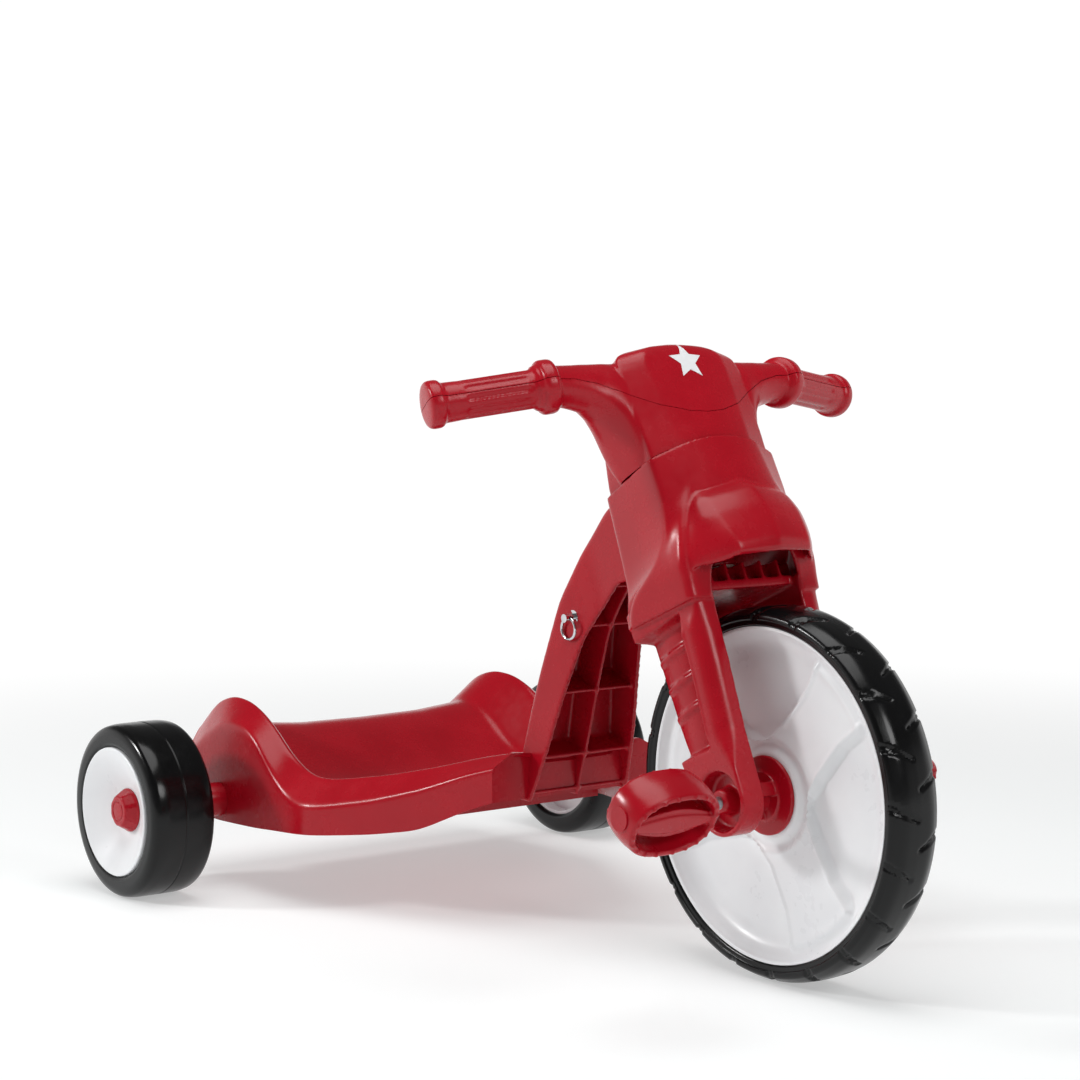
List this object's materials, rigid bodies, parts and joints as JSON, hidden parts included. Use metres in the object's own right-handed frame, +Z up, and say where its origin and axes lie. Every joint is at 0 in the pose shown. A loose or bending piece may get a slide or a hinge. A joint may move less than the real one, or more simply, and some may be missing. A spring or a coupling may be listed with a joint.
{
  "type": "tricycle",
  "caption": "Low children's tricycle: big pedalled front wheel in a raked moulded fork with handlebar, dished seat body and two small wide rear wheels.",
  "frame": {"origin": "on the floor, under the middle of the tricycle's overall box", "axes": "+X to the rider's left, +Y rearwards, so the front wheel is towards -Y, +Z up"},
  "size_m": [0.6174, 0.8856, 0.5498],
  "materials": {
    "red_plastic": "satin, injection moulded, with moulded-in red",
    "white_plastic": "semi-gloss moulded",
    "tyre_black": "semi-gloss blow-moulded black",
    "steel_rod": "zinc plated, drawn",
    "zinc_fasteners": "bright zinc",
    "chrome_wire": "nickel-chrome plated wire",
    "nylon": "natural nylon"
  },
  "bodies": {
    "frame": {"front_frame": "red_plastic", "seat_body": "red_plastic", "head_bush_lower": "nylon", "head_bush_upper": "nylon", "rear_axle": "steel_rod", "rear_axle_bush_left": "nylon", "rear_axle_bush_right": "nylon", "rear_axle_nut_left": "zinc_fasteners", "rear_axle_nut_right": "zinc_fasteners"},
    "fork": {"fork": "red_plastic", "steering_column": "steel_rod", "crown_bolt": "zinc_fasteners", "crown_nut": "zinc_fasteners", "stem_bolt": "zinc_fasteners", "stem_nut": "zinc_fasteners", "handlebar_upper": "red_plastic", "handlebar_lower": "red_plastic", "handlebar_screws": "zinc_fasteners", "fork_bush_left": "nylon", "fork_bush_right": "nylon"},
    "front_wheel": {"front_tyre": "tyre_black", "front_disc_left": "white_plastic", "front_disc_right": "white_plastic", "drive_spool_left": "red_plastic", "drive_spool_right": "red_plastic", "crank_rod": "steel_rod", "pedal_nut_left": "zinc_fasteners", "pedal_nut_right": "zinc_fasteners", "pedal_washer_left": "zinc_fasteners", "pedal_washer_right": "zinc_fasteners"},
    "pedal_right": {"pedal_right": "red_plastic", "pedal_cap_right": "red_plastic"},
    "pedal_left": {"pedal_left": "red_plastic", "pedal_cap_left": "red_plastic"},
    "rear_wheel_right": {"rear_tyre_right": "tyre_black", "rear_hub_right": "white_plastic", "rear_disc_right": "white_plastic", "rear_hub_cap_right": "red_plastic"},
    "rear_wheel_left": {"rear_tyre_left": "tyre_black", "rear_hub_left": "white_plastic", "rear_disc_left": "white_plastic", "rear_hub_cap_left": "red_plastic"},
    "lock_pin": {"lock_pin": "chrome_wire"},
    "pin_ring": {"pin_ring": "chrome_wire"}
  },
  "joints": [
    {"name": "steering", "type": "hinge", "parent": "frame", "child": "fork", "pos_m": [0, -0.27115, 0.15835], "axis": [0, 0.4147, 0.91], "range_deg": [-30, 30]},
    {"name": "front_wheel_spin", "type": "hinge", "parent": "fork", "child": "front_wheel", "pos_m": [0, -0.28025, 0.1625], "axis": [1, 0, 0], "continuous": true},
    {"name": "pedal_right_spin", "type": "hinge", "parent": "front_wheel", "child": "pedal_right", "pos_m": [0, -0.34872, 0.17705], "axis": [1, 0, 0], "continuous": true},
    {"name": "rear_wheel_right_spin", "type": "hinge", "parent": "frame", "child": "rear_wheel_right", "pos_m": [0, 0.35675, 0.086], "axis": [1, 0, 0], "continuous": true},
    {"name": "pedal_left_spin", "type": "hinge", "parent": "front_wheel", "child": "pedal_left", "pos_m": [0, -0.21178, 0.14795], "axis": [1, 0, 0], "continuous": true},
    {"name": "rear_wheel_left_spin", "type": "hinge", "parent": "frame", "child": "rear_wheel_left", "pos_m": [0, 0.35675, 0.086], "axis": [1, 0, 0], "continuous": true},
    {"name": "lock_pin_pull", "type": "slide", "parent": "frame", "child": "lock_pin", "axis": [-1, 0, 0], "range_m": [0, 0.075]},
    {"name": "pin_ring_swing", "type": "hinge", "parent": "lock_pin", "child": "pin_ring", "pos_m": [-0.0405, -0.02907, 0.29408], "axis": [0, 1, 0], "range_deg": [-5, 150]}
  ]
}
